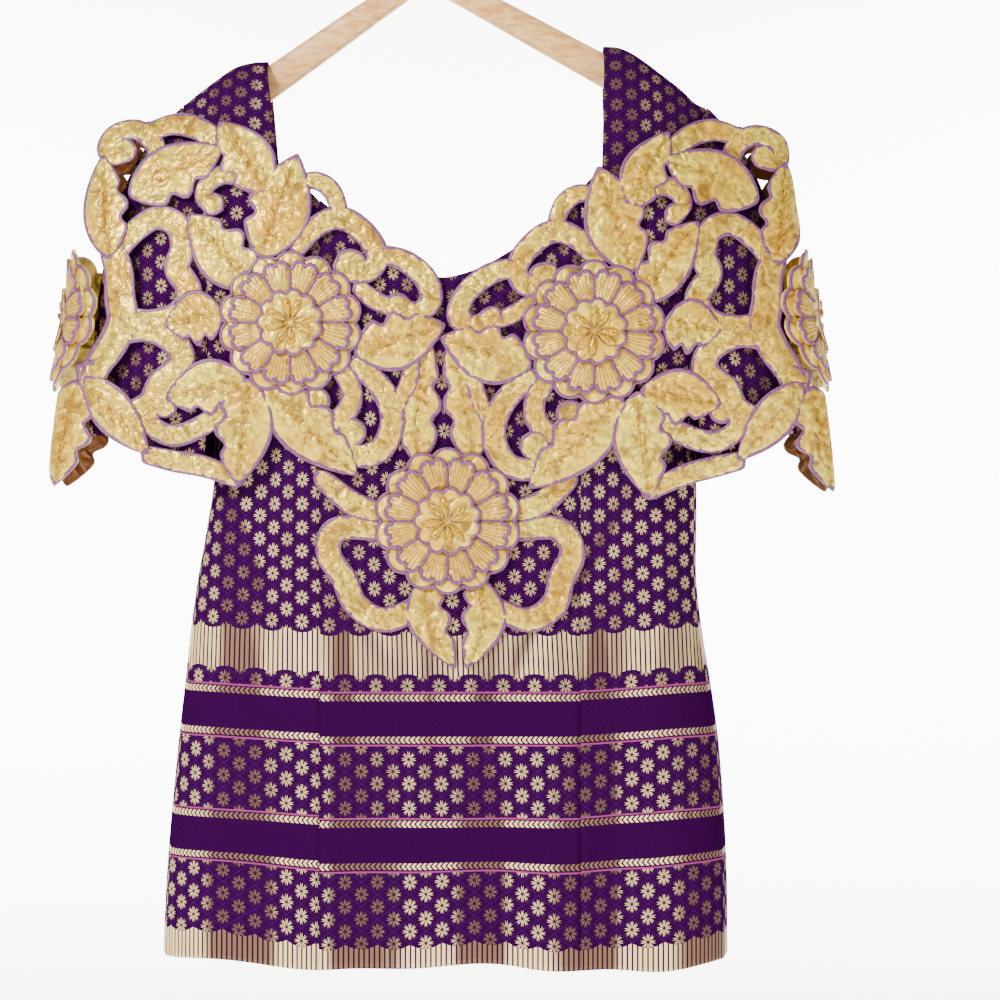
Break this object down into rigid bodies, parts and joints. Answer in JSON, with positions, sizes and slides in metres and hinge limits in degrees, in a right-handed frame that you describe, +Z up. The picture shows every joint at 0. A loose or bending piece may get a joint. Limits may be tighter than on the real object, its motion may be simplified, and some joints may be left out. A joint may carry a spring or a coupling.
{
  "type": "blouse on hanger",
  "caption": "Short-sleeved brocade blouse with a sweetheart neckline and a raised satin cutwork yoke of flowers, leaves and scrolls, hanging on a wooden coat hanger.",
  "frame": {"origin": "the inside of the hanger's hook at its highest point, where it bears on the rail that holds it", "axes": "+Z up, against the pull of the hanging garment; the blouse's front faces -Y; +X to the right when looking at its front"},
  "size_m": [0.55, 0.1274, 0.7548],
  "materials": {
    "brocade": "satin-faced brocade with woven metallic thread",
    "satin": "crinkled satin",
    "gold": "satin covered with gold embroidery",
    "wood": "clear satin varnish",
    "steel": "polished wire"
  },
  "bodies": {
    "root": {"front_centre": "brocade", "front_side_left": "brocade", "front_side_right": "brocade", "back_left": "brocade", "back_right": "brocade", "sleeve_left": "brocade", "sleeve_right": "brocade", "under_sleeve_left": "brocade", "under_sleeve_right": "brocade", "yoke_left": "satin", "yoke_right": "satin", "yoke_centre": "satin", "sleeve_cutwork_back_left": "satin", "sleeve_cutwork_back_right": "satin", "flower_bust_left_base": "satin", "flower_bust_left_petals": "gold", "flower_bust_left_heart": "satin", "flower_bust_right_base": "satin", "flower_bust_right_petals": "gold", "flower_bust_right_heart": "satin", "flower_centre_base": "satin", "flower_centre_petals": "gold", "flower_centre_heart": "satin", "flower_sleeve_left_base": "satin", "flower_sleeve_left_petals": "gold", "flower_sleeve_left_heart": "satin", "flower_sleeve_right_base": "satin", "flower_sleeve_right_petals": "gold", "flower_sleeve_right_heart": "satin", "hanger_wood": "wood", "hanger_hook": "steel"}
  },
  "joints": []
}
